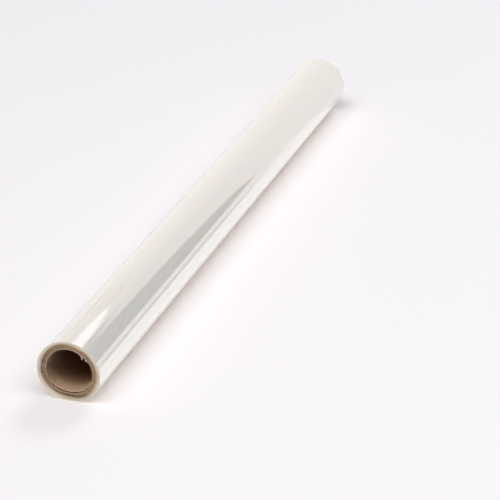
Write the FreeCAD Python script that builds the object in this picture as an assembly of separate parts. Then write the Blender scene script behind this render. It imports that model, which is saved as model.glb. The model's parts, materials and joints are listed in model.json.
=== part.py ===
import FreeCAD, Part
import math
import os

# A roll of clear shrink film wound on a spiral paperboard core, lying on its side.
#
# Frame: the core's axis runs along Y, from the worn end (-Y) to the sound end (+Y). +Z is up, and the
# origin is on the surface the roll lies on, under the middle of the roll. All sizes are millimetres,
# and angles round the roll are degrees from +X towards +Z, about the core's axis.

# ---- driving dimensions ------------------------------------------------------------------------
roll_width = 660.4          # 26 in film, wound flush with both ends of the core
bore_radius = 19.05         # 1.5 in bore
core_wall = 4.05            # 0.16 in of paperboard

# Film: the turns have settled on the flat spot they lie on, so the outline isn't quite round.
crown_radius = 27.0         # top and sides of the roll
shoulder_radius = 18.8      # tighter bend on each side of the flat spot
flat_half_width = 5.5
tail_start = 182.0          # where the last turn begins to stand off the turn below it
tail_edge = 214.0           # where the film ends, on the far side of the roll near the floor
tail_lift = 0.3             # how far the film's end stands off
tail_rise = 0.25            # share of that lift reached half way round from tail_start to tail_edge

# Worn mouth of the core at the -Y end. The inner plies have come unglued along the bottom: the
# innermost one bows into the bore, and a thin gap shows behind each of two plies.
worn_middle = 268.0         # direction in which the plies have let go
worn_half_angle = 55.0      # reach of the loose plies to each side of that
mouth_depth = 36.0          # the bore is round and sound from here on
bow_at_mouth = 2.35         # how far the innermost ply stands into the bore
bow_profile = ((0.0, 1.0), (0.35, 0.62), (0.7, 0.2), (1.0, 0.0))    # share of depth, share of bow

# Each gap is a crescent at the mouth: its middle direction, its inner and outer side there, where its
# two points lie and how far round they reach to each side. It runs in to a depth, and end_radius is
# how far out it lies there: the inner one follows the bowed ply out to the wall of the bore.
inner_gap = {
    "middle": 263.0,
    "side_in": 17.7,
    "side_out": 18.85,
    "points": 20.5,
    "half_angle": 58.0,
    "depth": 26.0,
    "end_radius": 19.8,
}
outer_gap = {
    "middle": 270.0,
    "side_in": 20.5,
    "side_out": 21.1,
    "points": 22.6,
    "half_angle": 36.0,
    "depth": 15.0,
    "end_radius": 20.9,
}
gap_end_share = 0.3         # a gap's width and reach at its inner end, as a share of those at the mouth

# Where the innermost ply has torn away altogether, from the loose plies up to the nick.
strip_start = -22.0
strip_end = 41.0
strip_radius = 19.95
strip_depth = 7.0
strip_feather = 0.05        # the strip fades out this far inside the wall of the bore

# A nick torn in the edge of the bore, with the torn ply curled into the bore beside it.
nick_angle = 41.0
nick_radius = 20.5          # how far out the nick is torn
nick_mouth_width = 3.2
nick_floor_width = 1.0
nick_depth = 4.5
curl_root_angle = 62.0      # where the torn ply leaves the wall of the bore
curl_tip_angle = 45.0
curl_tip_radius = 16.4
curl_bend_share = 0.3       # how far it has bent towards its tip half way along
curl_root_reach = 4.0       # how far round the wall its root runs on behind that, in degrees
curl_thickness = 0.8
curl_depth = 3.5

overshoot = 1.0             # how far a cutter runs past the face that it opens

# ---- dimensions that follow --------------------------------------------------------------------
# Each shoulder meets the flat spot and the crown without a corner. That sets the angle at which it
# ends, and the height of the crown's centre.
shoulder_inset = crown_radius - shoulder_radius
shoulder_end = math.degrees(math.acos(flat_half_width / shoulder_inset))
crown_height = shoulder_radius + shoulder_inset * math.sin(math.radians(shoulder_end))
axis_height = (crown_height + crown_radius) / 2     # the film is as thick above the core as below it
core_radius = bore_radius + core_wall
start = -roll_width / 2
along = FreeCAD.Vector(0, 1, 0)


def polar(radius, angle, y=start, centre_height=axis_height):
    """The point at a radius and an angle round the roll, on the section at y."""
    turn = math.radians(angle)
    return FreeCAD.Vector(radius * math.cos(turn), y, centre_height + radius * math.sin(turn))


def arc(first, middle, last):
    return Part.Arc(first, middle, last).toShape()


def line(first, last):
    return Part.LineSegment(first, last).toShape()


def tube_end(radius):
    return Part.makeCircle(radius, FreeCAD.Vector(0, start, axis_height), along)


# ---- film --------------------------------------------------------------------------------------
def film_outline():
    """Outside of the wound film: the flat spot, two shoulders, the crown and the step at its end."""

    def on_crown(angle, lift=0.0):
        return polar(crown_radius + lift, angle, start, crown_height)

    def on_shoulder(angle, side):
        return polar(shoulder_radius, angle, start, shoulder_radius) + flat_end * side

    flat_end = FreeCAD.Vector(flat_half_width, 0, 0)
    flat_middle = FreeCAD.Vector(0, start, 0)
    right = -shoulder_end
    left = 180.0 + shoulder_end
    return Part.Wire([
        line(flat_middle - flat_end, flat_middle + flat_end),
        arc(flat_middle + flat_end, on_shoulder((right - 90.0) / 2, 1), on_crown(right)),
        arc(on_crown(right), on_crown((right + tail_start) / 2), on_crown(tail_start)),
        arc(
            on_crown(tail_start),
            on_crown((tail_start + tail_edge) / 2, tail_rise * tail_lift),
            on_crown(tail_edge, tail_lift),
        ),
        line(on_crown(tail_edge, tail_lift), on_crown(tail_edge)),
        arc(on_crown(tail_edge), on_crown((tail_edge + left) / 2), on_crown(left)),
        arc(on_crown(left), on_shoulder((left + 270.0) / 2, -1), flat_middle - flat_end),
    ])


def film_roll():
    wound = Part.Face(film_outline()).extrude(along * roll_width)
    hollow = Part.Face(Part.Wire(tube_end(core_radius))).extrude(along * roll_width)
    return wound.cut(hollow)


# ---- core --------------------------------------------------------------------------------------
def mouth_section(y, bow):
    """Outline of the bore at y, with its bottom bowed inwards by bow."""
    first = polar(bore_radius, worn_middle - worn_half_angle, y)
    last = polar(bore_radius, worn_middle + worn_half_angle, y)
    top = polar(bore_radius, worn_middle - 180.0, y)
    bottom = polar(bore_radius - bow, worn_middle, y)
    return Part.Wire([arc(last, top, first), arc(first, bottom, last)])


def worn_mouth():
    """The bore from its bowed edge to where it is round."""
    sections = [mouth_section(start - overshoot, bow_at_mouth)]
    for depth_share, bow_share in bow_profile:
        sections.append(mouth_section(start + depth_share * mouth_depth, bow_share * bow_at_mouth))
    return Part.makeLoft(sections, True)


def sound_bore():
    mouth_end = FreeCAD.Vector(0, start + mouth_depth, axis_height)
    return Part.makeCylinder(bore_radius, roll_width - mouth_depth + overshoot, mouth_end, along)


def crescent(y, middle, side_in, side_out, points, half_angle):
    """A crescent round the worn side, pointed at both ends."""
    first = polar(points, middle - half_angle, y)
    last = polar(points, middle + half_angle, y)
    outside = arc(first, polar(side_out, middle, y), last)
    inside = arc(last, polar(side_in, middle, y), first)
    return Part.Wire([outside, inside])


def ply_gap(middle, side_in, side_out, points, half_angle, depth, end_radius):
    """The gap behind a loose ply: widest at the mouth, closing towards its inner end."""
    half_width = gap_end_share * (side_out - side_in) / 2
    end_points = end_radius + gap_end_share * (points - (side_in + side_out) / 2)
    end_sides = (end_radius - half_width, end_radius + half_width)
    return Part.makeLoft([
        crescent(start - overshoot, middle, side_in, side_out, points, half_angle),
        crescent(start, middle, side_in, side_out, points, half_angle),
        crescent(start + depth, middle, *end_sides, end_points, gap_end_share * half_angle),
    ], True, True)


def torn_strip():
    """The hollow left where the innermost ply is missing: one ply deep at the mouth."""
    inside = bore_radius - overshoot
    half_way = (strip_start + strip_end) / 2

    def sector(y, outside):
        return Part.Wire([
            arc(polar(inside, strip_start, y), polar(inside, half_way, y), polar(inside, strip_end, y)),
            line(polar(inside, strip_end, y), polar(outside, strip_end, y)),
            arc(polar(outside, strip_end, y), polar(outside, half_way, y), polar(outside, strip_start, y)),
            line(polar(outside, strip_start, y), polar(inside, strip_start, y)),
        ])

    return Part.makeLoft([
        sector(start - overshoot, strip_radius),
        sector(start, strip_radius),
        sector(start + strip_depth, bore_radius - strip_feather),
    ], True, True)


def nick():
    """A notch through the edge of the innermost plies, running out along the bore."""
    across = polar(1.0, nick_angle + 90.0, 0.0, 0.0)

    def notch(y, floor_radius):
        inside = polar(bore_radius - overshoot, nick_angle, y)
        floor = polar(floor_radius, nick_angle, y)
        first = inside - across * (nick_mouth_width / 2)
        return Part.makePolygon([
            first,
            floor - across * (nick_floor_width / 2),
            floor + across * (nick_floor_width / 2),
            inside + across * (nick_mouth_width / 2),
            first,
        ])

    mouth = notch(start - overshoot, nick_radius)
    end = notch(start + nick_depth, bore_radius)
    return Part.makeLoft([mouth, end], True, True)


def curl():
    """The torn end of the innermost ply, curled into the bore beside the nick."""
    bend_angle = (curl_root_angle + curl_tip_angle) / 2
    bend_radius = bore_radius - curl_bend_share * (bore_radius - curl_tip_radius)
    tip = polar(curl_tip_radius, curl_tip_angle)
    root = polar(bore_radius + curl_thickness, curl_root_angle)
    back_root = polar(bore_radius + curl_thickness, bend_angle + curl_root_reach)
    outline = Part.Wire([
        arc(back_root, polar(bend_radius + curl_thickness, bend_angle), tip),
        arc(tip, polar(bend_radius, bend_angle), root),
        line(root, back_root),
    ])
    return Part.Face(outline).extrude(along * curl_depth)


def core_tube():
    tube = Part.Face(Part.Wire(tube_end(core_radius))).extrude(along * roll_width)
    for cutter in (sound_bore(), worn_mouth(), ply_gap(**inner_gap), ply_gap(**outer_gap), torn_strip()):
        tube = tube.cut(cutter)
    return tube.fuse(curl()).cut(nick()).removeSplitter()


# ---- build -------------------------------------------------------------------------------------
os.makedirs("parts", exist_ok=True)
for name, shape in (("core_tube", core_tube()), ("film_roll", film_roll())):
    if len(shape.Solids) != 1 or not shape.isValid():
        raise ValueError(name + " is not one sound solid")
    shape.Solids[0].exportStep("parts/" + name + ".step")
    print(name, round(shape.Volume / 1000.0, 2), "cm3", shape.BoundBox)
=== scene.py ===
"""A roll of clear shrink film on a paperboard core, finished on a pale studio floor.

Laid out as a Blender add-on and run as a script. Every length is in metres. Angles round the roll are
measured from +X towards +Z about the core's axis, which runs along Y.
"""

import json
import math
import random

import bmesh
import bpy
from bpy.props import FloatProperty, FloatVectorProperty, IntProperty, PointerProperty
from mathutils import Matrix, Vector, noise


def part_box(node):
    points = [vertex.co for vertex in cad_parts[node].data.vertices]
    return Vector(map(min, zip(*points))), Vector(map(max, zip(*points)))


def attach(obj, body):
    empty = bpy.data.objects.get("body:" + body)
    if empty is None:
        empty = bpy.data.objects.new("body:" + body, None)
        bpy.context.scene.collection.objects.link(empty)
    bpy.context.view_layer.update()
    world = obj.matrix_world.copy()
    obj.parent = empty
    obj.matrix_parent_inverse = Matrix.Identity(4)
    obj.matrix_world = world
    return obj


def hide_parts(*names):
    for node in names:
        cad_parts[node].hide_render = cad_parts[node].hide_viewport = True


bl_info = {
    "name": "Shrink Film Roll",
    "version": (1, 0, 0),
    "blender": (4, 5, 0),
    "location": "View3D > Sidebar > Film Roll",
    "description": "Builds the wound film, the worn paperboard core and the studio round them",
    "category": "Object",
}

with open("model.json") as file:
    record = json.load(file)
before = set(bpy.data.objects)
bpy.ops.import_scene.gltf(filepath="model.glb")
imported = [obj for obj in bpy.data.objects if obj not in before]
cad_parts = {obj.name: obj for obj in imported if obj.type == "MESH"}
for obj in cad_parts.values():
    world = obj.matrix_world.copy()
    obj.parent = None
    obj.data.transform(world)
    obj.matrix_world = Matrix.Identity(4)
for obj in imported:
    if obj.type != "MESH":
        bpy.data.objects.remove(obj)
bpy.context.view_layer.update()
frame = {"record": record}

MM = 0.001

# ---- sizes read from the frame ----
MOUNTS = {mount["name"]: mount for mount in frame["record"]["mounts"]}
BORE = MOUNTS["core_bore"]
BORE_RADIUS = BORE["dims"]["r_mm"] * MM
AXIS_HEIGHT = BORE["pos_m"][2]
CORE_LOW, CORE_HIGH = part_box("core_tube")
FILM_LOW, FILM_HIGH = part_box("film_roll")
CORE_RADIUS = (CORE_HIGH.x - CORE_LOW.x) / 2
CROWN_RADIUS = (FILM_HIGH.x - FILM_LOW.x) / 2
CROWN_HEIGHT = FILM_HIGH.z - CROWN_RADIUS
NEAR = FILM_LOW.y
FAR = FILM_HIGH.y
ROLL_WIDTH = FAR - NEAR
MOUTH_DEPTH = ROLL_WIDTH - BORE["dims"]["length_mm"] * MM

SHARP_ANGLE = math.radians(40)      # faces that meet at more than this keep a sharp edge
JUST_BEHIND = NEAR + 0.02 * MM      # loose paper stays behind this, so that none stands out of the end
ALONG = Vector((0, 1, 0))
BACKWARDS = Vector((0, -1, 0))      # a positive turn about this goes from +X towards +Z


def colour(code):
    """Scene-linear red, green and blue of an sRGB hex colour."""
    parts = [int(code[i : i + 2], 16) / 255 for i in (1, 3, 5)]
    return [c / 12.92 if c <= 0.04045 else ((c + 0.055) / 1.055) ** 2.4 for c in parts]


# ---- settings ----
def a_length(name, description, millimetres):
    """A setting that is a length. The next two are a direction or an opening, and a colour."""
    return FloatProperty(name=name, description=description, default=millimetres * MM, unit="LENGTH")


def an_angle(name, description, degrees):
    return FloatProperty(name=name, description=description, default=math.radians(degrees), subtype="ANGLE")


def a_colour(name, description, code):
    return FloatVectorProperty(name=name, description=description, default=colour(code), subtype="COLOR")


class FilmSettings(bpy.types.PropertyGroup):
    """Sizes and colours of the wound film."""

    flat_half_width: a_length("Flat Spot Half Width", "Half the width of the spot that the roll lies on", 5.5)
    shoulder_radius: a_length("Shoulder Radius", "Radius of the bend on each side of the flat spot", 18.8)
    tail_start: an_angle("Tail Start", "Where the last turn begins to stand off the one below", 182)
    tail_edge: an_angle("Tail Edge", "Direction in which the film ends", 214)
    tail_lift: a_length("Tail Lift", "How far the end of the film stands off the turn below", 0.3)
    turn_rings: IntProperty(
        name="Rings on the Ends",
        description="Bands of turns that stand a little in or out on each end",
        default=18,
    )
    face_colour: a_colour("Film", "Colour of the many clear turns seen through the surface", "#F6EEE8")
    # Painted reflection: the duller streaks along the top take this colour, standing in for darker lines
    # mirrored by wrinkles.
    painted_streak_colour: a_colour("Clinging Film", "Colour where turns cling together and mirror less", "#E6DFD3")
    edge_colour: a_colour("Film Edges", "Colour of the turns seen edge on, away from the core", "#F0E9DC")
    edge_core_colour: a_colour("Film Edges at the Core", "Colour where the core shows through", "#BFAA8E")


class CoreSettings(bpy.types.PropertyGroup):
    """Sizes and colours of the paperboard core."""

    worn_middle: an_angle("Worn Side", "Direction in which the inner plies have come unglued", 268)
    worn_half_angle: an_angle("Worn Reach", "How far the loose plies reach to each side", 55)
    bow: a_length("Ply Bow", "How far the innermost ply stands into the bore at its mouth", 2.35)
    nick_angle: an_angle("Nick", "Direction of the torn nick in the edge of the bore", 41)
    ply_thickness: a_length("Ply Thickness", "Thickness of one ply of the spiral tube", 0.45)
    board_colour: a_colour("Board", "Colour of the liner in the bore", "#BA9E83")
    cut_colour: a_colour("Cut Board", "Colour of the cut ends of the plies", "#A0866C")
    # Partly a painted highlight: this pale colour also stands in for the light caught by the rim's corner.
    rim_and_highlight_colour: a_colour("Rim", "Colour of the innermost plies' cut edge", "#C2A88D")
    torn_colour: a_colour("Torn Paper", "Colour of the fibres inside a torn ply", "#DDD2C4")


class StageSettings(bpy.types.PropertyGroup):
    """The floor, the lights and the camera."""

    camera_azimuth: an_angle("Camera Azimuth", "How far to the right of the roll's axis it stands", 18.803)
    camera_elevation: an_angle("Camera Elevation", "How far above the horizon the camera stands", 25.284)
    camera_distance: a_length("Camera Distance", "From the camera to the point it looks at", 1974.15)
    lens: FloatProperty(
        name="Lens",
        description="Focal length on a 36 mm sensor, in millimetres",
        default=163.62,
    )
    floor_colour: a_colour("Floor", "Colour of the paper sweep", "#FBF8FB")
    ambient_level: FloatProperty(
        name="Ambient Level",
        description="Brightness of the even light from all round",
        default=0.147,
    )
    room_level: FloatProperty(
        name="Room Level",
        description="Brightness of the room beyond the boards, as the film mirrors it",
        default=0.45,
    )


# ---- nodes ----
def add_node(tree, kind, settings=None):
    """Add a node. Each setting is a property, the value of an input, or a socket to link to an input."""
    node = tree.nodes.new("ShaderNode" + kind)
    for name, value in (settings or {}).items():
        if isinstance(value, bpy.types.NodeSocket):
            tree.links.new(value, node.inputs[name])
        elif isinstance(name, int) or name in node.inputs:
            node.inputs[name].default_value = value
        else:
            setattr(node, name, value)
    return node


def new_material(name):
    """A node material with nothing in it yet but its output."""
    material = bpy.data.materials.new(name)
    material.use_nodes = True
    tree = material.node_tree
    tree.nodes.clear()
    return material, tree, add_node(tree, "OutputMaterial")


def rgba(values):
    return (*values, 1.0)


def place_on_object(tree):
    """The place of each point on the object, in metres."""
    return add_node(tree, "TexCoord").outputs["Object"]


def coordinate(tree, place, axis):
    """One coordinate of a place."""
    return add_node(tree, "SeparateXYZ", {0: place}).outputs[axis]


def stretched(tree, place, scale):
    """A place, scaled along each axis."""
    return add_node(tree, "Mapping", {"Scale": scale, "Vector": place}).outputs["Vector"]


def added(tree, first, second, clamp=False):
    """A socket's value plus another's."""
    settings = {"operation": "ADD", "use_clamp": clamp, 0: first, 1: second}
    return add_node(tree, "Math", settings).outputs["Value"]


def weighed(tree, value, weight):
    """A socket's value times a number or another socket's value."""
    settings = {"operation": "MULTIPLY", 0: value, 1: weight}
    return add_node(tree, "Math", settings).outputs["Value"]


def ranged(tree, value, low, high, first=0.0, last=1.0, clamp=True):
    """A socket's value carried over from one range to another."""
    source = {"Value": value, "From Min": low, "From Max": high}
    target = {"To Min": first, "To Max": last, "clamp": clamp}
    return add_node(tree, "MapRange", {**source, **target}).outputs["Result"]


def mottled(tree, place, scale, detail=2.0, roughness=0.5):
    """A cloudy value between 0 and 1. The scale is how many clouds go to a metre."""
    settings = {"Vector": place, "Scale": scale, "Detail": detail, "Roughness": roughness}
    return add_node(tree, "TexNoise", settings).outputs["Fac"]


def marked(tree, place, scale, low, high):
    """Sparse marks: nothing where a cloudy value is below the first height, full above the second."""
    return ranged(tree, mottled(tree, place, scale), low, high)


def blended(tree, share, first, second, blend_type="MIX"):
    """A share of the second colour over the first."""
    settings = {"data_type": "RGBA", "blend_type": blend_type, 0: share, 6: first, 7: second}
    return add_node(tree, "Mix", settings).outputs[2]


def bumped(tree, height, strength, distance):
    """Normals of a surface that stands up by a distance where the height is 1."""
    settings = {"Height": height, "Strength": strength, "Distance": distance}
    return add_node(tree, "Bump", settings).outputs["Normal"]


def radius_from_axis(tree, place):
    """Distance from the core's axis, in metres."""
    settings = {"Location": (0, 0, -AXIS_HEIGHT), "Scale": (1, 0, 1), "Vector": place}
    across = add_node(tree, "Mapping", settings).outputs["Vector"]
    return add_node(tree, "VectorMath", {"operation": "LENGTH", 0: across}).outputs["Value"]


def by_direction(tree, place, stops):
    """A value that depends on the direction round the roll, from stops of degrees and value."""
    settings = {"Location": (0, -AXIS_HEIGHT, 0), "Rotation": (-math.pi / 2, 0, 0), "Vector": place}
    turned = add_node(tree, "Mapping", settings).outputs["Vector"]
    settings = {"gradient_type": "RADIAL", "Vector": turned}
    share = add_node(tree, "TexGradient", settings).outputs["Fac"]
    ramp = add_node(tree, "ValToRGB", {"Fac": share})
    low = min(value for _, value in stops)
    high = max(value for _, value in stops)
    points = sorted(((degrees + 180) % 360 / 360, (value - low) / (high - low)) for degrees, value in stops)
    elements = ramp.color_ramp.elements
    for _ in points[2:]:
        elements.new(0.5)
    for element, (position, grey) in zip(elements, points):
        element.position = position
        element.color = rgba([grey] * 3)
    return ranged(tree, ramp.outputs["Color"], 0.0, 1.0, low, high)


# ---- materials ----
# Each list goes round the roll: a direction in degrees, and a value there.

# Where duller streaks are painted on top, above the highlight: a painted reflection of the darker lines that
# wrinkles mirror there.
PAINTED_STREAKS = ((0, 0.1), (60, 0.1), (84, 1.0), (106, 1.0), (128, 0.4), (150, 0.1), (300, 0.1))

# How far out the core's brown shows through the turns, by direction: 0.1 is 0.4 mm nearer the core. Where it
# reaches further out the brown is painted shade, beside the core where shade falls.
EDGE_BROWN_AND_SHADE = (
    (0, -0.12), (30, -0.03), (65, 0.04), (100, -0.02), (150, -0.08), (179.9, -0.1), (180.1, -0.1),
    (197, -0.28), (215, -0.16), (240, -0.02), (270, 0.0), (300, -0.28), (325, -0.25), (345, -0.2),
)

# Where white flecks are painted on the near end: painted highlights for the glints of the rough slit edges.
PAINTED_GLINTS = ((0, 0.0), (22, 0.0), (36, 0.8), (58, 0.8), (75, 0.0), (100, 0.25), (130, 0.0), (300, 0.0))

# How pale the sawn end of the core is painted, by direction: painted light where it is pale, painted shade
# where it is dark.
CUT_LIGHT_AND_SHADE = (
    (0, 1.06), (30, 1.06), (65, 1.18), (95, 1.1), (125, 0.94), (150, 0.84), (179.9, 0.86), (180.1, 0.86),
    (200, 0.82), (225, 0.96), (250, 1.12), (280, 1.12), (300, 1.06), (330, 1.14),
)

# Painted light and shade by direction on the wall of the bore, and on the cut edge of its innermost ply. The
# wall is painted lighter low down and on the right, where light falls in at the mouth, and darker on the
# upper and left sides.
LINER_LIGHT_AND_SHADE = (
    (0, 1.1), (60, 0.9), (90, 0.72), (120, 0.6), (180.1, 0.52), (200, 0.68), (225, 0.93), (255, 1.06),
    (300, 1.0),
)
RIM_LIGHT_AND_SHADE = (
    (0, 1.0), (60, 1.12), (90, 1.15), (120, 0.98), (150, 1.2), (200, 0.95), (240, 1.15), (290, 1.1),
    (320, 1.0),
)


def let_light_through(tree, shader, output):
    """Clear film: a good part of the light that meets a few turns goes on through them, a little warmer."""
    clear = add_node(tree, "BsdfTransparent", {"Color": (1.0, 0.93, 0.72, 1.0)})
    shadow_ray = add_node(tree, "LightPath").outputs["Is Shadow Ray"]
    shaders = {0: weighed(tree, shadow_ray, 0.8), 1: shader.outputs["BSDF"], 2: clear.outputs["BSDF"]}
    mixed = add_node(tree, "MixShader", shaders)
    tree.links.new(mixed.outputs["Shader"], output.inputs["Surface"])


def film_face_material(settings):
    """Polyolefin film, blown and wound tight: hundreds of clear turns, each one a weak mirror.

    Together they look half silvered and half milky. The wrinkles run along the roll, because air and
    slack between the turns gather in lines across the direction of winding. Duller, browner streaks are
    painted on top, above the highlight, as a painted reflection of the darker lines that the wrinkles
    mirror there. Fine creases near the end glint where the roll was handled.
    """
    material, tree, output = new_material("polyolefin_film_wound")
    place = place_on_object(tree)
    wrinkle_width, wrinkle_length, crease_size = 1.6 * MM, 90 * MM, 1.5 * MM
    lengthwise = stretched(tree, place, (1 / wrinkle_width, 1 / wrinkle_length, 1 / wrinkle_width))
    along = coordinate(tree, place, "Y")
    handled = ranged(tree, along, NEAR + 14 * MM, NEAR + 55 * MM, 1.0, 0.0)
    wrinkles = weighed(tree, mottled(tree, lengthwise, 1.0, 3.0, 0.55), 0.16)
    streaks = weighed(tree, marked(tree, lengthwise, 3.2, 0.6, 0.72), 0.25)
    creases = weighed(tree, weighed(tree, marked(tree, place, 1 / crease_size, 0.56, 0.7), handled), 1.2)
    height = added(tree, added(tree, wrinkles, streaks), creases)
    # Painted reflection: duller streaks along the roll, above the highlight, fading out towards the far end.
    streak_reach = ranged(tree, along, NEAR + 60 * MM, NEAR + 230 * MM, 1.0, 0.0)
    painted_streaks = weighed(tree, marked(tree, lengthwise, 0.9, 0.48, 0.64), streak_reach)
    painted_streaks = weighed(tree, painted_streaks, by_direction(tree, place, PAINTED_STREAKS))
    clear, streak_tint = rgba(settings.face_colour), rgba(settings.painted_streak_colour)
    shader = add_node(
        tree,
        "BsdfPrincipled",
        {
            "Base Color": blended(tree, painted_streaks, clear, streak_tint),
            "Metallic": 0.5,
            "Roughness": 0.06,
            "IOR": 1.5,
            "Coat Weight": 1.0,
            "Coat Roughness": 0.03,
            "Coat IOR": 1.5,
            "Sheen Weight": 0.3,
            "Sheen Roughness": 0.3,
            "Subsurface Weight": 1.0,
            "Subsurface Radius": (1.0, 0.75, 0.5),
            "Subsurface Scale": 6 * MM,
            "Normal": bumped(tree, height, 1.0, 0.02 * MM),
        },
    )
    let_light_through(tree, shader, output)
    return material


def film_edge_material(settings):
    """The same film seen on its slit edges: hundreds of edges packed side by side.

    Light travels along the turns, so they glow cream, and near the core its brown shows through. By direction
    the brown is also painted further out, as painted shade beside the core.
    """
    material, tree, output = new_material("polyolefin_film_slit_edges")
    place = place_on_object(tree)
    cloud_size, glint_size = 11 * MM, 0.55 * MM
    turn_pitch = 0.16 * MM      # several turns: single ones are too fine to show
    radius = radius_from_axis(tree, place)
    wander = ranged(tree, mottled(tree, place, 1 / cloud_size), 0.3, 0.7, -0.1, 0.1, clamp=False)
    # Partly painted shade: the brown is pushed further out by direction where shade falls beside the core.
    shift = added(tree, by_direction(tree, place, EDGE_BROWN_AND_SHADE), wander)
    reach = added(tree, ranged(tree, radius, CORE_RADIUS, CROWN_RADIUS), shift, clamp=True)
    ramp = add_node(tree, "ValToRGB", {"Fac": reach})
    near, far = Vector(settings.edge_core_colour), Vector(settings.edge_colour)
    ramp.color_ramp.elements[0].color = rgba(near)
    ramp.color_ramp.elements[1].color = rgba(far)
    for position, mixed in ((0.25, 0.42), (0.5, 0.72)):
        ramp.color_ramp.elements.new(position).color = rgba(near.lerp(far, mixed))
    # Painted highlight: white flecks stand in for glints on the rough slit edges.
    painted_glints = marked(tree, place, 1 / glint_size, 0.56, 0.66)
    painted_glints = weighed(tree, painted_glints, by_direction(tree, place, PAINTED_GLINTS))
    rings = {"noise_dimensions": "1D", "W": weighed(tree, radius, 1 / turn_pitch), "Scale": 1.0}
    grain = add_node(tree, "TexNoise", rings).outputs["Fac"]
    shader = add_node(
        tree,
        "BsdfPrincipled",
        {
            "Base Color": blended(tree, painted_glints, ramp.outputs["Color"], (1.0, 1.0, 1.0, 1.0)),
            "Roughness": 0.42,
            "IOR": 1.5,
            "Subsurface Weight": 0.5,
            "Subsurface Radius": (1.0, 0.75, 0.5),
            "Subsurface Scale": 2 * MM,
            "Normal": bumped(tree, grain, 0.5, 0.05 * MM),
        },
    )
    let_light_through(tree, shader, output)
    return material


def board_material(name, paper, grain_depth, painted_shading, liner=False):
    """Recycled kraft board: matt, mottled with fibres a few tenths of a millimetre long.

    Painted light and shade by direction make it paler where light falls and darker where shade falls. The
    liner is streaked along the tube by the mandrel that it was wound on and has pale scuffs; further down the
    bore it is painted darker and browner, as painted shade.
    """
    material, tree, output = new_material(name)
    place = place_on_object(tree)
    fibre_width, scuff_size = 0.5 * MM, 1.2 * MM
    cloud_size, contrast, streaking = (1.4 * MM, 0.15, 0.12) if liner else (2.6 * MM, 0.3, 1.0)
    fibres = mottled(tree, place, 1 / fibre_width, 4.0, 0.65)
    clouds = mottled(tree, stretched(tree, place, (1, streaking, 1)), 1 / cloud_size)
    mottle = ranged(tree, added(tree, fibres, clouds), 0.6, 1.4)
    dark = rgba([c * (1 - contrast) for c in paper])
    light = rgba([min(1.0, c * (1 + contrast)) for c in paper])
    surface = blended(tree, mottle, dark, light)
    if liner:
        scuffs = marked(tree, place, 1 / scuff_size, 0.6, 0.72)
        surface = blended(tree, scuffs, surface, rgba([c * 1.5 for c in paper]))
        # Painted shade: the liner darkens and browns from 8 to 45 mm down the bore.
        depth_shade = ranged(tree, coordinate(tree, place, "Y"), NEAR + 8 * MM, NEAR + 45 * MM)
        surface = blended(tree, depth_shade, surface, (0.74, 0.6, 0.48, 1.0), "MULTIPLY")
    # Painted light and shade: the colour is scaled by direction round the roll.
    shade_scale = {"operation": "SCALE", 0: surface, "Scale": by_direction(tree, place, painted_shading)}
    shader = add_node(
        tree,
        "BsdfPrincipled",
        {
            "Base Color": add_node(tree, "VectorMath", shade_scale).outputs["Vector"],
            "Roughness": 0.85,
            "IOR": 1.45,
            "Normal": bumped(tree, fibres, 0.6, grain_depth),
        },
    )
    tree.links.new(shader.outputs["BSDF"], output.inputs["Surface"])
    return material


# ---- mesh helpers ----
def polar(radius, angle, y, centre_height=AXIS_HEIGHT):
    """The point at a radius and angle round the roll, on the section at y."""
    return Vector((radius * math.cos(angle), y, centre_height + radius * math.sin(angle)))


def angle_of(point, centre_height=AXIS_HEIGHT):
    """Direction of a point from the axis, from 0 to a full turn."""
    return math.atan2(point.z - centre_height, point.x) % math.tau


def turn_between(angle, middle):
    """Signed angle from one direction to another, within half a turn."""
    return (angle - middle + math.pi) % math.tau - math.pi


def swell(angle, middle, reach):
    """1 in the middle direction, fading away over a reach to each side, both in degrees."""
    return math.exp(-((turn_between(angle, math.radians(middle)) / math.radians(reach)) ** 2))


def grow(bm, ring):
    """Extrude a closed ring of edges once. Returns the new ring's edges and its vertices."""
    made = bmesh.ops.extrude_edge_only(bm, edges=ring)["geom"]
    edges = [item for item in made if isinstance(item, bmesh.types.BMEdge)]
    verts = [item for item in made if isinstance(item, bmesh.types.BMVert)]
    return edges, verts


def new_object(bm, name, materials):
    """An object in the scene with a bmesh's faces. The bmesh is freed."""
    mesh = bpy.data.meshes.new(name)
    bm.to_mesh(mesh)
    bm.free()
    for material in materials:
        mesh.materials.append(material)
    made = bpy.data.objects.new(name, mesh)
    bpy.context.scene.collection.objects.link(made)
    return made


def finish_piece(bm, name, materials):
    """A shaded piece that rides on the roll."""
    piece = new_object(bm, name, materials)
    piece.data.shade_smooth()
    piece.data.set_sharp_from_angle(angle=SHARP_ANGLE)
    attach(piece, "root")
    return piece


# ---- film ----
FILM_FACE, FILM_EDGES = range(2)

# Where the turns hang in over the core at the near end: middle, reach to each side, and how far in.
SAGS = ((266.0, 26.0, 1.15), (72.0, 34.0, 0.5))
SAG_DEPTH = 0.9 * MM        # how far behind the end they lie against the core again

# Where the turns next to the core lie back from the near end: middle, reach to each side, and how far.
SET_BACKS = ((195.0, 16.0, 1.1), (303.0, 20.0, 0.7), (112.0, 14.0, 0.4))
SET_BACK_WIDTH = 1.1 * MM   # how far out from the core that fades

# Straight pieces that the round stretches of the outline and the length of the roll are made of.
SHOULDER_STEPS = 16
CROWN_STEPS = 190
TAIL_STEPS = 26
PAST_TAIL_STEPS = 12
FLAT_STEPS = 8
LENGTHWISE_STEPS = 122

TAIL_STEP_ANGLE = math.radians(0.5)     # how far round the step at the film's end takes
SLIT_CORNER = 0.1 * MM                  # how far the outside stops short of each end


def spin_on(bm, vert, centre, turn, steps):
    """Spin a vertex round a centre on the near end. Returns the last vertex of the arc."""
    made = bmesh.ops.spin(
        bm, geom=[vert], cent=centre, axis=BACKWARDS, angle=turn, steps=steps, use_duplicate=False
    )
    return next(item for item in made["geom_last"] if isinstance(item, bmesh.types.BMVert))


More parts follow.
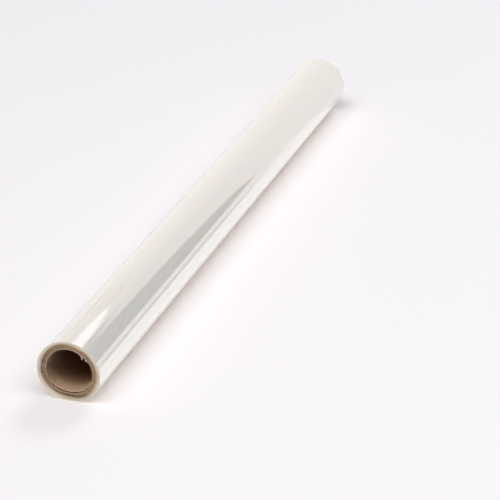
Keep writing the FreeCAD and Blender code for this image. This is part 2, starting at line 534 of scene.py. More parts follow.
def film_outline(bm, settings):
    """Closed outline of the wound film on the near end: flat spot, shoulders, crown and the tail's step."""
    inset = CROWN_RADIUS - settings.shoulder_radius
    shoulder_end = math.acos(settings.flat_half_width / inset)
    right, left = -shoulder_end, math.pi + shoulder_end
    tail_reach = settings.tail_edge - settings.tail_start
    crown = Vector((0, NEAR, CROWN_HEIGHT))
    shoulder = Vector((settings.flat_half_width, NEAR, settings.shoulder_radius))
    first = bm.verts.new((settings.flat_half_width, NEAR, 0))
    last = spin_on(bm, first, shoulder, right + math.pi / 2, SHOULDER_STEPS)
    last = spin_on(bm, last, crown, settings.tail_start - right, CROWN_STEPS)
    last = spin_on(bm, last, crown, tail_reach, TAIL_STEPS)
    last = spin_on(bm, last, crown, TAIL_STEP_ANGLE, 1)
    last = spin_on(bm, last, crown, left - settings.tail_edge - TAIL_STEP_ANGLE, PAST_TAIL_STEPS)
    shoulder.x = -shoulder.x
    last = spin_on(bm, last, shoulder, math.pi * 1.5 - left, SHOULDER_STEPS)
    base = bm.edges.new((last, first))
    bmesh.ops.subdivide_edges(bm, edges=[base], cuts=FLAT_STEPS - 1)
    for vert in bm.verts:
        share = (angle_of(vert.co, CROWN_HEIGHT) - settings.tail_start) / tail_reach
        if 0 < share <= 1 + 1e-6:
            outward = (vert.co - crown).normalized()
            vert.co += outward * settings.tail_lift * share**2
    return list(bm.edges)


def turns_inward(bm, ring, rings, end_y, outward_y, chance):
    """Rings of turns from the outline in to the core, each standing a little in or out."""
    for step in range(rings):
        ring, verts = grow(bm, ring)
        share = 1 / (rings - step)
        stand = chance.uniform(0.0, 0.12) * MM if 0 < step < rings - 1 else 0.02 * MM
        for vert in verts:
            outward = Vector((vert.co.x, 0, vert.co.z - AXIS_HEIGHT))
            reach = outward.length
            inside = CORE_RADIUS - (sag(angle_of(vert.co)) if outward_y < 0 else 0.0)
            target = reach + (inside - reach) * share
            wander = noise.noise(Vector((vert.co.x, vert.co.z, step * 0.01)) * 60) * 0.05 * MM
            wander += set_back(angle_of(vert.co), target) if outward_y < 0 else 0.0
            vert.co = outward * (target / reach) + Vector((0, end_y, AXIS_HEIGHT))
            vert.co.y = end_y - outward_y * max(0.0, stand + wander)
    return ring


def sag(angle):
    """How far the turns at the near end hang in over the end of the core."""
    return max(most * MM * swell(angle, middle, reach) for middle, reach, most in SAGS)


def set_back(angle, radius):
    """How far the turns next to the core lie back from the near end."""
    fade = math.exp(-(((radius - CORE_RADIUS) / SET_BACK_WIDTH) ** 2))
    return fade * max(most * MM * swell(angle, middle, reach) for middle, reach, most in SET_BACKS)


def wound_film(settings):
    """The film as one closed shell: near end, outside, far end and the wall against the core."""
    chance = random.Random(24)
    bm = bmesh.new()
    outline = film_outline(bm, settings)
    ring = outline
    for _ in range(LENGTHWISE_STEPS):
        ring, verts = grow(bm, ring)
        for vert in verts:
            vert.co.y += ROLL_WIDTH / LENGTHWISE_STEPS
    outside = list(bm.faces)
    for vert in bm.verts:
        slack = outside_slack(vert.co)
        inward = Vector((-vert.co.x, 0, CROWN_HEIGHT - vert.co.z)).normalized()
        if vert.co.z > 0.1 * MM:        # the flat spot stays on the floor
            vert.co += inward * slack
        vert.co.y = min(max(vert.co.y, NEAR + SLIT_CORNER), FAR - SLIT_CORNER)
    near_core = turns_inward(bm, outline, settings.turn_rings, NEAR, -1, chance)
    near_core = back_to_core(bm, near_core)
    far_core = turns_inward(bm, ring, settings.turn_rings, FAR, 1, chance)
    for face in bm.faces:
        face.material_index = FILM_EDGES
    for face in outside:
        face.material_index = FILM_FACE
    bmesh.ops.bridge_loops(bm, edges=near_core + far_core)
    bmesh.ops.recalc_face_normals(bm, faces=bm.faces)
    return bm


def back_to_core(bm, ring):
    """From the innermost turn's edge back along it, and out to the wall of the core."""
    for to_core in (False, True):
        ring, verts = grow(bm, ring)
        for vert in verts:
            vert.co.y = NEAR + SAG_DEPTH
            if to_core:
                vert.co = polar(CORE_RADIUS, angle_of(vert.co), vert.co.y)
    return ring


def outside_slack(point):
    """How far the outside of the film lies below its CAD surface at a point."""
    turn = angle_of(point, CROWN_HEIGHT)
    around = Vector((math.cos(turn), math.sin(turn), 0)) * CROWN_RADIUS
    ridges = noise.noise(around / (3 * MM) + Vector((0, 0, point.y / (160 * MM))))
    waves = noise.noise(around / (14 * MM) + Vector((7, 3, point.y / (55 * MM))))
    bands = noise.noise(Vector((11, 5, point.y / (9 * MM))))
    return (0.11 + 0.015 * ridges + 0.05 * waves + 0.012 * bands) * MM


class FILMROLL_OT_wound_film(bpy.types.Operator):
    """Build the wound film in place of its plain solid"""

    bl_idname = "filmroll.wound_film"
    bl_label = "Wound Film"

    def execute(self, context):
        settings = context.scene.film_roll_film
        piece = finish_piece(
            wound_film(settings),
            "wound_film",
            [film_face_material(settings), film_edge_material(settings)],
        )
        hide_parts("film_roll")
        return {"FINISHED"}


# ---- core ----
CORE_CUT, CORE_LINER, CORE_RIM_AND_HIGHLIGHT = range(3)

# Kinds of ring: plain cut board, light on the loose ply only, light all round, and the wall of the bore. The
# light rings take the rim's pale colour, which is partly a painted highlight.
PLAIN, LOOSE, LIGHT, LINER = range(4)

# Gaps behind loose plies: middle direction, inner and outer side there, where the two points lie, how
# far round they reach to each side, how deep the gap runs, how far out it lies at its inner end, how much
# wider it gapes in one direction, and how far it is hitched outwards in another.
INNER_GAP = {
    "middle": 263.0,
    "inside": 17.7,
    "outside": 18.85,
    "points": 20.5,
    "reach": 58.0,
    "depth": 26.0,
    "end_radius": 19.8,
    "gape": 0.45,
    "gape_at": 225.0,
    "hitch": 0.0,
    "hitch_at": 263.0,
}
OUTER_GAP = {
    "middle": 270.0,
    "inside": 20.5,
    "outside": 21.1,
    "points": 22.6,
    "reach": 36.0,
    "depth": 15.0,
    "end_radius": 20.9,
    "gape": 0.2,
    "gape_at": 292.0,
    "hitch": 0.75,
    "hitch_at": 290.0,
}
GAP_END_SHARE = 0.3         # width and reach of a gap at its inner end, as a share of those at the mouth
GAPE_REACH = 15.0           # how far round the gaping and the hitch fade away, in degrees
HITCH_REACH = 11.0

NICK = {"floor": 20.5, "mouth_width": 3.2, "floor_width": 1.0, "depth": 4.5, "overlap": 1.0}

# Where the innermost ply is missing, between the loose plies and the nick.
STRIP = {"start": -22.0, "end": 41.0, "radius": 19.95, "depth": 7.0}

# Small pits in the cut end where board has come away: radius, direction, size and depth.
PITS = (
    (21.5, 57.0, 0.7, 1.4), (21.4, 39.5, 0.75, 1.4), (20.9, 49.0, 0.5, 0.8), (22.3, 165.5, 0.75, 1.3),
    (22.2, 172.0, 0.6, 0.8), (22.6, 183.0, 0.6, 0.9), (22.8, 191.0, 0.8, 1.2), (22.2, 201.0, 0.6, 0.7),
    (20.4, 320.0, 0.7, 1.1), (21.1, 103.0, 0.5, 0.6), (20.8, 136.0, 0.6, 0.6), (21.0, 149.0, 0.5, 0.5),
)

# Where the cut end needs more detail: from, to, and the step between vertices.
FINE_ARCS = ((22.0, 76.0, 0.45), (100.0, 204.0, 0.9), (204.0, 326.0, 1.1), (335.0, 341.0, 0.6))
COARSE_STEP = 1.6


def stations():
    """Directions of the vertices round the core, closer together where the cut end is torn."""
    angles, angle = [], 0.0
    while angle < 360.0 - COARSE_STEP / 2:
        angles.append(math.radians(angle))
        steps = [step for start, end, step in FINE_ARCS if start <= angle < end]
        angle += min(steps, default=COARSE_STEP)
    return angles


def arc_radius(offset, reach, end_radius, middle_radius):
    """Distance from the axis to an arc, at an angle from the arc's middle.

    The arc goes through the middle radius at its middle and the end radius at its reach. Its centre
    lies beyond it where it bends the other way.
    """
    centre = (end_radius**2 - middle_radius**2) / (2 * (end_radius * math.cos(reach) - middle_radius))
    radius = middle_radius - centre
    half_chord = math.sqrt(radius**2 - (centre * math.sin(offset)) ** 2)
    return centre * math.cos(offset) + math.copysign(half_chord, radius)


class CoreShape:
    """The worn core's radii, read off by direction and by depth behind the near end."""

    def __init__(self, settings):
        self.settings = settings

    def bore(self, angle, depth):
        """Radius of the bore: round, but bowed in by the loose ply at the mouth, and nicked."""
        settings = self.settings
        offset = turn_between(angle, settings.worn_middle)
        radius = BORE_RADIUS
        if abs(offset) < settings.worn_half_angle and depth < MOUTH_DEPTH:
            bow = settings.bow * (1 - depth / MOUTH_DEPTH) ** 1.2
            radius = arc_radius(offset, settings.worn_half_angle, BORE_RADIUS, BORE_RADIUS - bow)
        return max(radius, self.nick(angle, depth), self.strip(angle, depth))

    def strip(self, angle, depth):
        """Radius to which the innermost ply is missing, or nothing where it is still there."""
        start, end = math.radians(STRIP["start"]), math.radians(STRIP["end"])
        offset = turn_between(angle, (start + end) / 2)
        ragged = noise.noise(Vector((angle * BORE_RADIUS / (1.1 * MM), 2.0, 6.0)))
        reach = STRIP["depth"] * MM * (1 + 0.35 * ragged)
        if abs(offset) > (end - start) / 2 or depth > reach:
            return 0.0
        fade = min(1.0, (1 - depth / reach) * 1.6)
        return BORE_RADIUS + (STRIP["radius"] * MM - BORE_RADIUS) * fade

    def nick(self, angle, depth):
        """Radius to which the nick is torn out, or nothing outside it."""
        nick_depth = NICK["depth"] * MM
        if depth > nick_depth:
            return 0.0
        across = turn_between(angle, self.settings.nick_angle) * BORE_RADIUS
        ragged = noise.noise(Vector((across / (0.55 * MM), depth / (1.2 * MM), 3.0)))
        floor = BORE_RADIUS + (NICK["floor"] * MM - BORE_RADIUS) * (1 - depth / nick_depth)
        base = BORE_RADIUS - NICK["overlap"] * MM
        slope = (NICK["mouth_width"] - NICK["floor_width"]) / 2 * MM
        rise = 1 - max(0.0, abs(across) - NICK["floor_width"] / 2 * MM) / slope
        return base + (floor + 0.28 * MM * ragged - base) * min(rise, 1.0) if rise > 0 else 0.0

    def gap_side(self, angle, gap, side, share=0.0):
        """Radius of one side of a gap, at a share of its full depth. The sides meet past its points."""
        offset = turn_between(angle, math.radians(gap["middle"]))
        shrink = 1 - (1 - GAP_END_SHARE) * share
        reach = math.radians(gap["reach"]) * shrink
        centre = (gap["inside"] + gap["outside"]) / 2
        drift = (gap["end_radius"] - centre) * share
        points = centre + (gap["points"] - centre) * shrink + drift
        middle = centre + (gap[side] - centre) * shrink + drift
        if abs(offset) >= reach:
            return points * MM
        ease = (1 - abs(offset) / reach) ** 0.3 * shrink
        shift = gap["hitch"] * swell(angle, gap["hitch_at"], HITCH_REACH) * ease
        if side == "outside":
            shift += gap["gape"] * swell(angle, gap["gape_at"], GAPE_REACH) * ease
        return arc_radius(offset, reach, points * MM, middle * MM) + shift * MM

    def gap_share(self, angle, gap):
        """Share of the gap's full depth that it reaches in one direction: nothing at its points."""
        offset = abs(turn_between(angle, math.radians(gap["middle"]))) / math.radians(gap["reach"])
        return min(max((1 - offset) / (1 - GAP_END_SHARE), 0.0), 1.0)

    def edges(self, angle):
        """Radii where the bands of plies on the cut end begin and end, from the outside in."""
        return (
            CORE_RADIUS,
            self.gap_side(angle, OUTER_GAP, "outside"),
            self.gap_side(angle, OUTER_GAP, "inside"),
            self.gap_side(angle, INNER_GAP, "outside"),
            self.gap_side(angle, INNER_GAP, "inside"),
            self.bore(angle, 0.0),
        )


def pitted(angle, radius):
    """How deep the cut end is pitted at a point."""
    deepest = 0.0
    for pit_radius, pit_angle, size, depth in PITS:
        along_arc = turn_between(angle, math.radians(pit_angle)) * radius / (size * MM)
        across = (radius / MM - pit_radius) / size
        away = along_arc**2 + across**2
        if away < 4.0:
            rough = 1 + 0.6 * noise.noise(Vector((radius, angle * radius, 1.0)) / (0.3 * MM))
            deepest = max(deepest, depth * MM * math.exp(-1.5 * away) * rough)
    return deepest


def cut_end_rings(chance):
    """Rings of the worn cut end, from the outside in.

    Each is the edge it starts from, its share of the way to the next edge, how far it lies behind
    the end, how far into a gap it lies, and where it shows the innermost ply's light cut edge.
    """
    rings = []

    def band(edge, plies, light_plies=0):
        for ply in range(plies):
            stand = chance.uniform(0.02, 0.1) * MM
            light = LIGHT if ply >= plies - light_plies else LOOSE if light_plies else PLAIN
            for share, depth in ((0.12, stand), (0.5, stand * 0.7), (0.88, stand), (1.0, stand + 0.09 * MM)):
                rings.append((edge, (ply + share) / plies, depth, 0.0, light))

    def gap(edge):
        for share in (0.03, 0.12, 0.35, 0.7, 1.0):
            rings.append((edge, 0.0, 0.0, share, PLAIN))
        for share in (1.0, 0.7, 0.35, 0.12, 0.03):
            rings.append((edge, 1.0, 0.0, share, PLAIN))

    band(0, 3)
    gap(1)
    band(2, 5)
    gap(3)
    band(4, 3, 1)
    return rings[:-1]


def worn_end(bm, ring, shape, angles):
    """Grow the cut end from the outside of the core in to the rim of the bore."""
    chance = random.Random(7)
    rings = cut_end_rings(chance)
    for order, (edge, share, depth, gap_share, light) in enumerate(rings):
        ring, verts = grow(bm, ring)
        left = len(rings) - order
        for vert, angle in zip(in_order(verts), angles):
            edges = shape.edges(angle)
            radius = edges[edge] + (edges[edge + 1] - edges[edge]) * share
            behind = depth
            if gap_share:
                gap = INNER_GAP if edge == 3 else OUTER_GAP
                reached = gap_share * shape.gap_share(angle, gap)
                radius = shape.gap_side(angle, gap, "inside" if share else "outside", reached)
                behind = reached * gap["depth"] * MM
            else:
                around = Vector((radius * math.cos(angle), radius * math.sin(angle), order * 0.02))
                behind += max(0.0, noise.noise(around / (1.3 * MM))) * 0.12 * MM
                behind += pitted(angle, radius)
                if edge == 0:
                    behind += 1.3 * SAG_DEPTH * min(1.0, sag(angle) / (0.3 * MM))
            radius = max(radius, edges[-1] + left * 0.02 * MM)
            vert.co = polar(radius, angle, NEAR + 0.01 * MM + behind)
        paint(verts, light)
    return ring


def in_order(verts):
    """Vertices of a new ring by direction, starting from +X."""
    return sorted(verts, key=lambda vert: angle_of(vert.co))


def paint(verts, kind):
    """Give the faces between the last two rings a material.

    The innermost ply has a light cut edge where it is still there, and the loose ply is light all through;
    the pale colour is partly a painted highlight where the rim's corner catches the light.
    """
    for face in {face for vert in verts for face in vert.link_faces}:
        degrees = math.degrees(angle_of(face.calc_center_median()))
        torn_away = not STRIP["end"] < degrees < 360 + STRIP["start"]
        loose = abs(degrees - INNER_GAP["middle"]) < 0.86 * INNER_GAP["reach"]
        light = kind == LIGHT and not torn_away or kind == LOOSE and loose
        face.material_index = CORE_LINER if kind == LINER else CORE_RIM_AND_HIGHLIGHT if light else CORE_CUT


def bore_depths():
    """Depths of the rings down the bore: close together where the mouth can be seen."""
    depths = [0.05, 0.15, 0.35, 0.7]
    while depths[-1] * MM < ROLL_WIDTH:
        depths.append(depths[-1] + min(0.45 + 0.035 * depths[-1], 14.0))
    return [depth * MM for depth in depths[:-1] if depth * MM < ROLL_WIDTH - 2 * MM] + [ROLL_WIDTH - 0.4 * MM]


def bore_wall(bm, ring, shape, angles):
    """Grow the bore from its rim to the far end."""
    for depth in bore_depths():
        ring, verts = grow(bm, ring)
        for vert, angle in zip(in_order(verts), angles):
            grain = Vector((math.cos(angle) * BORE_RADIUS, depth * 0.35, math.sin(angle) * BORE_RADIUS))
            rough = noise.noise(grain / (1.6 * MM)) * 0.05 * MM
            lip = 0.3 * MM * math.exp(-depth / (0.12 * MM))
            vert.co = polar(shape.bore(angle, depth) + lip + max(rough, 0.0), angle, NEAR + depth)
        # The first fifth of a millimetre of the bore takes the rim's colour: a painted highlight on the
        # mouth's corner.
        paint(verts, LIGHT if depth < 0.2 * MM else LINER)
    return ring


def core_board(settings):
    """The core as one closed shell: worn end, bore, plain far end and the wall inside the film."""
    shape = CoreShape(settings)
    angles = stations()
    bm = bmesh.new()
    bmesh.ops.create_circle(bm, segments=len(angles), radius=CORE_RADIUS)
    for vert, angle in zip(sorted(bm.verts, key=lambda v: math.atan2(v.co.y, v.co.x) % math.tau), angles):
        vert.co = polar(CORE_RADIUS, angle, NEAR + 0.15 * MM)
    outside_near = list(bm.edges)
    ring = worn_end(bm, outside_near, shape, angles)
    ring = bore_wall(bm, ring, shape, angles)
    plies = round((CORE_RADIUS - BORE_RADIUS) / settings.ply_thickness)
    chance = random.Random(11)
    for ply in range(plies):
        stand = chance.uniform(0.02, 0.08) * MM
        for share, depth in ((0.12, stand), (0.88, stand), (1.0, stand + 0.07 * MM)):
            ring, verts = grow(bm, ring)
            radius = BORE_RADIUS + (CORE_RADIUS - BORE_RADIUS) * (ply + share) / plies
            for vert, angle in zip(in_order(verts), angles):
                vert.co = polar(radius, angle, FAR - depth)
            paint(verts, PLAIN)
    bmesh.ops.bridge_loops(bm, edges=ring + outside_near)
    bmesh.ops.remove_doubles(bm, verts=bm.verts, dist=0.002 * MM)
    bmesh.ops.dissolve_degenerate(bm, edges=bm.edges, dist=0.001 * MM)
    bmesh.ops.recalc_face_normals(bm, faces=bm.faces)
    return bm


def torn_ply():
    """The torn end of the innermost ply, curled into the bore beside the nick."""
    root = Vector((BORE_RADIUS + 0.1 * MM, math.radians(64)))
    bend = Vector((18.35 * MM, math.radians(54)))
    tip = Vector((16.5 * MM, math.radians(45.5)))
    width, thickness = 4.2 * MM, 0.38 * MM
    rows, steps = 14, 16
    bm = bmesh.new()
    first = bm.verts.new(polar(root.x, root.y, NEAR + 0.1 * MM))
    last = bm.verts.new(polar(root.x, root.y, NEAR + width))
    bmesh.ops.subdivide_edges(bm, edges=[bm.edges.new((first, last))], cuts=rows)
    points = [polar(p.x, p.y, 0.0) for p in (root, bend, tip)]
    centre = circle_centre(*points)
    turn = (points[0] - centre).angle(points[2] - centre)
    made = bmesh.ops.spin(
        bm, geom=list(bm.edges), cent=centre, axis=ALONG, angle=turn, steps=steps, use_duplicate=False
    )
    tip_end = next(item for item in made["geom_last"] if isinstance(item, bmesh.types.BMVert))
    if (tip_end.co.xz - points[2].xz).length > MM:
        raise ValueError("the torn ply curls the wrong way")
    for vert in bm.verts:
        out = (points[0] - centre).angle(Vector((vert.co.x, 0, vert.co.z)) - centre) / turn
        share = (vert.co.y - NEAR) / width
        ragged = noise.noise(Vector((vert.co.x, vert.co.z, 5.0)) / (0.5 * MM)) * 0.5 * out
        vert.co.y = NEAR + 0.1 * MM + width * share * (1 - 0.72 * out**1.5) + ragged * 0.5 * MM * share
        crinkle = noise.noise(vert.co / (0.9 * MM)) * 0.12 * MM * out
        vert.co += (vert.co - Vector((0, vert.co.y, AXIS_HEIGHT))).normalized() * crinkle
        vert.co.y = max(vert.co.y, JUST_BEHIND)
    bmesh.ops.recalc_face_normals(bm, faces=bm.faces)
    bmesh.ops.solidify(bm, geom=bm.faces, thickness=-thickness)
    bmesh.ops.recalc_face_normals(bm, faces=bm.faces)
    return bm


def circle_centre(first, middle, last):
    """Centre of the circle through three points of one section."""
    a, b = middle - first, last - first
    cross = a.x * b.z - a.z * b.x
    x = (b.z * a.length_squared - a.z * b.length_squared) / (2 * cross)
    z = (a.x * b.length_squared - b.x * a.length_squared) / (2 * cross)
    return first + Vector((x, 0, z))


def fibre(bm, root, heading, length, width, chance):
    """A paper fibre: a thin tapered thread with a random bend."""
    sides, joints = 4, 5
    made = bmesh.ops.create_circle(bm, segments=sides, radius=width / 2, cap_ends=True)
    turn = heading.to_track_quat("Z", "Y").to_matrix().to_4x4()
    bmesh.ops.transform(bm, matrix=Matrix.Translation(root) @ turn, verts=made["verts"])
    cap = next(face for vert in made["verts"] for face in vert.link_faces)
    point = root
    for _ in range(joints):
        wander = Vector((chance.gauss(0, 1), chance.gauss(0, 1), chance.gauss(0, 1))) * 0.35
        ahead = (heading + wander).normalized()
        swing = heading.rotation_difference(ahead)
        heading = ahead
        made = bmesh.ops.extrude_discrete_faces(bm, faces=[cap])
        cap = made["faces"][0]
        point = point + heading * (length / joints)
        centre = cap.calc_center_median()
        for vert in cap.verts:
            vert.co = point + (swing @ (vert.co - centre)) * 0.82


# Scraps of torn paper standing on the cut end round the nick: radius, direction and size.
FLAKES = ((19.4, 38.0, 1.7), (20.4, 43.0, 1.0), (20.8, 51.5, 0.8), (19.9, 32.5, 0.7), (19.3, 61.0, 0.8))


def flake(bm, radius, degrees, size):
    """A scrap of torn paper: a small crumpled sheet, roughly facing out of the end."""
    angle, lean = math.radians(degrees), math.radians(70)
    turn = Matrix.Rotation(lean, 4, "X") @ Matrix.Rotation(angle, 4, "Z")
    place = Matrix.Translation(polar(radius * MM, angle, NEAR + 0.35 * size * MM)) @ turn
    made = bmesh.ops.create_grid(bm, x_segments=5, y_segments=5, size=size / 2 * MM, matrix=place)
    for vert in made["verts"]:
        around = vert.co / (0.6 * MM)
        crumple = [noise.noise(around + Vector((0.0, 0.0, 9.0 * axis))) for axis in range(3)]
        vert.co += Vector(crumple) * 0.35 * size * MM
    faces = list(dict.fromkeys(face for vert in made["verts"] for face in vert.link_faces))
    bmesh.ops.solidify(bm, geom=faces, thickness=0.15 * MM)


# Loose fibres, round the nick, on the loose ply and elsewhere: how many, from and to which direction, how
# far out from the bore and how long at most.
FIBRES = ((46, 33.0, 63.0, 0.18, 1.5), (26, 222.0, 314.0, 0.1, 0.7), (14, 90.0, 215.0, 0.08, 0.5))


def torn_fibres(settings):
    """Loose fibres and scraps of paper round the nick, along the loose ply and in its gaps."""
    chance = random.Random(41)
    bm = bmesh.new()
    shape = CoreShape(settings)
    for count, low, high, out, longest in FIBRES:
        for _ in range(count):
            angle = math.radians(chance.uniform(low, high))
            depth = chance.uniform(0.05, 1.2) * MM
            radius = shape.bore(angle, depth) + chance.uniform(-0.02, out) * MM
            root = polar(radius, angle, NEAR + 0.25 * MM + depth)
            inward = polar(-1.0, angle + chance.gauss(0, 0.7), 0.0, 0.0)
            heading = (inward + Vector((0, chance.uniform(-0.25, 0.5), 0))).normalized()
            length = chance.uniform(0.25, longest) * MM
            fibre(bm, root, heading, length, chance.uniform(0.05, 0.11) * MM, chance)
    for radius, degrees, size in FLAKES:
        flake(bm, radius, degrees, size)
    bmesh.ops.holes_fill(bm, edges=bm.edges, sides=4)
    bmesh.ops.recalc_face_normals(bm, faces=bm.faces)
    for vert in bm.verts:
        vert.co.y = max(vert.co.y, JUST_BEHIND)
    return bm


class FILMROLL_OT_core_board(bpy.types.Operator):
    """Build the worn paperboard core in place of its plain solid"""

    bl_idname = "filmroll.core_board"
    bl_label = "Paperboard Core"

    def execute(self, context):
        settings = context.scene.film_roll_core
        piece = finish_piece(
            core_board(settings),
            "core_board",
            [
                # Painted light and shade: the sawn end is lighter and darker by direction.
                board_material("kraft_board_sawn_end", settings.cut_colour, 0.06 * MM, CUT_LIGHT_AND_SHADE),
                board_material("kraft_liner_calendered", settings.board_colour, 0.03 * MM, LINER_LIGHT_AND_SHADE, True),
                board_material("kraft_liner_cut_edge", settings.rim_and_highlight_colour, 0.04 * MM, RIM_LIGHT_AND_SHADE),
            ],
        )
        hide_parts("core_tube")
        return {"FINISHED"}


class FILMROLL_OT_torn_paper(bpy.types.Operator):
    """Build the curled ply end and the loose fibres at the worn end"""

    bl_idname = "filmroll.torn_paper"
    bl_label = "Torn Paper"

    def execute(self, context):
        settings = context.scene.film_roll_core
        # The torn paper is painted lighter and darker by direction like the rim: painted light and shade.
        paper = board_material("kraft_paper_torn", settings.torn_colour, 0.05 * MM, RIM_LIGHT_AND_SHADE)
        for bm, name in ((torn_ply(), "torn_ply"), (torn_fibres(settings), "torn_fibres")):
            piece = finish_piece(bm, name, [paper])
        return {"FINISHED"}


class FILMROLL_OT_stage(bpy.types.Operator):
    """Lay the floor, hang the lights and set the camera"""

    bl_idname = "filmroll.stage"
    bl_label = "Studio"

    def execute(self, context):
        settings = context.scene.film_roll_stage
        build_floor(settings)
        build_lights(settings)
        build_cards()
        build_camera(settings)
        context.scene.view_settings.view_transform = "Standard"
        return {"FINISHED"}


# ---- stage ----
FLOOR_SIZE = 8.0            # metres from side to side


def sheet(name, place, material):
    """A flat square sheet, a metre wide before it is placed."""
    bm = bmesh.new()
    bmesh.ops.create_grid(bm, x_segments=1, y_segments=1, size=0.5, matrix=place)
    return new_object(bm, name, [material])


def build_floor(settings):
    """Matt white paper, so even that it shows nothing but the roll's shadow."""
    material, tree, output = new_material("paper_sweep")
    matt = {"Base Color": rgba(settings.floor_colour), "Roughness": 1.0, "Specular IOR Level": 0.0}
    shader = add_node(tree, "BsdfPrincipled", matt)
    tree.links.new(shader.outputs["BSDF"], output.inputs["Surface"])
    floor = sheet("floor", Matrix.Scale(FLOOR_SIZE, 4), material)


def shader_by_ray(tree, ray, otherwise, seen):
    """Mix two shaders so that one kind of ray meets the second and all the rest the first."""
    path = add_node(tree, "LightPath")
    shaders = {0: path.outputs[ray], 1: otherwise, 2: seen}
    return add_node(tree, "MixShader", shaders).outputs["Shader"]


# Softboxes: how far round to the right of the roll's axis and how far above the horizon each hangs, in
# degrees, then its distance, width and height in metres and its power in watts.
SOFTBOXES = (
    ("front_softbox", -20.0, 61.0, 6.5, 5.0, 3.0, 218.0),
    ("right_softbox", 72.0, 55.0, 4.5, 3.0, 2.6, 76.0),
    ("back_softbox", 172.0, 42.0, 4.5, 1.4, 1.4, 41.0),
)


def direction(azimuth, elevation):
    """From the roll, the way to a camera or a lamp."""
    level = math.cos(elevation)
    return Vector((math.sin(azimuth) * level, -math.cos(azimuth) * level, math.sin(elevation)))


def build_lights(settings):
    """Even light from all round, the softboxes, and the darker room that the film mirrors."""
    world = bpy.data.worlds.new("studio")
    bpy.context.scene.world = world
    world.use_nodes = True
    tree = world.node_tree
    tree.nodes.clear()
    output = add_node(tree, "OutputWorld")

    def background(tint, strength):
        glow = {"Color": rgba(tint), "Strength": strength}
        return add_node(tree, "Background", glow).outputs["Background"]

    room = background((1.0, 0.985, 0.965), settings.room_level)
    light = background((1.0, 1.0, 1.0), settings.ambient_level)
    light = shader_by_ray(tree, "Is Camera Ray", light, background(settings.floor_colour, 1.0))
    light = shader_by_ray(tree, "Is Glossy Ray", light, room)
    tree.links.new(light, output.inputs["Surface"])

    for name, azimuth, elevation, distance, width, height, power in SOFTBOXES:
        data = bpy.data.lights.new(name, "AREA")
        data.shape, data.size, data.size_y, data.energy = "RECTANGLE", width, height, power
        lamp = bpy.data.objects.new(name, data)
        lamp.location = direction(math.radians(azimuth), math.radians(elevation)) * distance
        lamp.rotation_euler = (-lamp.location).to_track_quat("-Z", "Y").to_euler()
        lamp.visible_glossy = False
        bpy.context.scene.collection.objects.link(lamp)


# Boards that only the film mirrors: name, middle, width, height, whether it hangs level, how far round it
# is turned, its colour, and how bright it is low down, high up and at its right side. Lengths in metres.
CARDS = (
    ("backdrop", (-1.6, 0.728, 1.5), 4.016, 3.0, False, 0.0, "#FFFCF9", (1.06, 0.88, 0.83)),
    ("sweep", (1.308, 0.728, 0.035), 1.8, 0.07, False, 0.0, "#FFFCF9", (0.85, 0.85, 1.0)),
    ("diffuser", (-0.01, 0.425, 0.62), 0.35, 0.25, True, -0.2, "#FFFFFF", (1.3, 1.3, 1.0)),
    ("diffuser_frame", (0.275, 0.45, 0.615), 0.17, 0.32, True, 0.0, "#FFFCF9", (0.5, 0.5, 1.0)),
    ("floor_board", (0.15, -0.05, 0.001), 0.1, 0.54, True, 0.0, "#FFFCF9", (0.7, 0.7, 1.0)),
    ("reflector", (0.064, 0.0, 0.001), 0.07, 0.64, True, 0.0, "#FFFFFF", (1.06, 1.06, 1.0)),
)


def lit_board(name, tint, foot, top, right):
    """A board lit from low on the left, so that it fades upwards and to the right."""
    material, tree, output = new_material("lit_board_" + name)
    place = place_on_object(tree)
    upwards = ranged(tree, coordinate(tree, place, "Z"), 0.12, 0.6, foot, top)
    across = ranged(tree, coordinate(tree, place, "X"), -0.25, 0.4, 1.0, right)
    glow = {"Color": rgba(colour(tint)), "Strength": weighed(tree, upwards, across)}
    emission = add_node(tree, "Emission", glow).outputs["Emission"]
    tree.links.new(emission, output.inputs["Surface"])
    return material


def build_cards():
    """Hang the boards that stand beyond the far end of the roll, and that the film mirrors."""
    for name, middle, width, height, level, turn, tint, brightness in CARDS:
        upright = Matrix.Rotation(0 if level else math.pi / 2, 4, "X")
        place = Matrix.Translation(middle) @ Matrix.Rotation(turn, 4, "Z") @ upright
        size = Matrix.Diagonal((width, height, 1, 1))
        card = sheet(name, place @ size, lit_board(name, tint, *brightness))
        for ray in ("camera", "diffuse", "transmission", "shadow", "volume_scatter"):
            setattr(card, "visible_" + ray, False)


AIM = Vector((62.64 * MM, -74.27 * MM, AXIS_HEIGHT))        # what the camera looks at


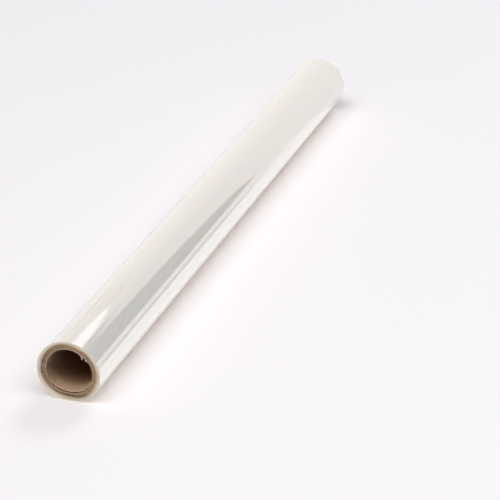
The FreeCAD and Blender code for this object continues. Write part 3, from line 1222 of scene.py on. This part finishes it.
def build_camera(settings):
    """A long lens, looking down over the near end."""
    data = bpy.data.cameras.new("camera")
    data.sensor_width = 36.0
    data.lens = settings.lens
    camera = bpy.data.objects.new("camera", data)
    back = direction(settings.camera_azimuth, settings.camera_elevation)
    camera.location = AIM + back * settings.camera_distance
    camera.rotation_euler = (-back).to_track_quat("-Z", "Y").to_euler()
    bpy.context.scene.collection.objects.link(camera)
    bpy.context.scene.camera = camera


# ---- add-on ----
class FILMROLL_PT_panel(bpy.types.Panel):
    """Lists the roll's pieces and their settings in the sidebar"""

    bl_idname = "FILMROLL_PT_panel"
    bl_label = "Film Roll"
    bl_space_type = "VIEW_3D"
    bl_region_type = "UI"
    bl_category = "Film Roll"

    def draw(self, context):
        groups = (
            (context.scene.film_roll_film, ("wound_film",)),
            (context.scene.film_roll_core, ("core_board", "torn_paper")),
            (context.scene.film_roll_stage, ("stage",)),
        )
        for settings, operators in groups:
            box = self.layout.box()
            for name in settings.bl_rna.properties.keys():
                if name not in {"rna_type", "name"}:
                    box.prop(settings, name)
            for name in operators:
                box.operator("filmroll." + name)


CLASSES = (
    FilmSettings,
    CoreSettings,
    StageSettings,
    FILMROLL_OT_wound_film,
    FILMROLL_OT_core_board,
    FILMROLL_OT_torn_paper,
    FILMROLL_OT_stage,
    FILMROLL_PT_panel,
)


def register():
    for cls in CLASSES:
        bpy.utils.register_class(cls)
    bpy.types.Scene.film_roll_film = PointerProperty(type=FilmSettings)
    bpy.types.Scene.film_roll_core = PointerProperty(type=CoreSettings)
    bpy.types.Scene.film_roll_stage = PointerProperty(type=StageSettings)


def unregister():
    del bpy.types.Scene.film_roll_stage
    del bpy.types.Scene.film_roll_core
    del bpy.types.Scene.film_roll_film
    for cls in reversed(CLASSES):
        bpy.utils.unregister_class(cls)


def main():
    """Build every piece and the stage."""
    register()
    bpy.ops.filmroll.wound_film()
    bpy.ops.filmroll.core_board()
    bpy.ops.filmroll.torn_paper()
    bpy.ops.filmroll.stage()


if __name__ == "__main__":
    main()
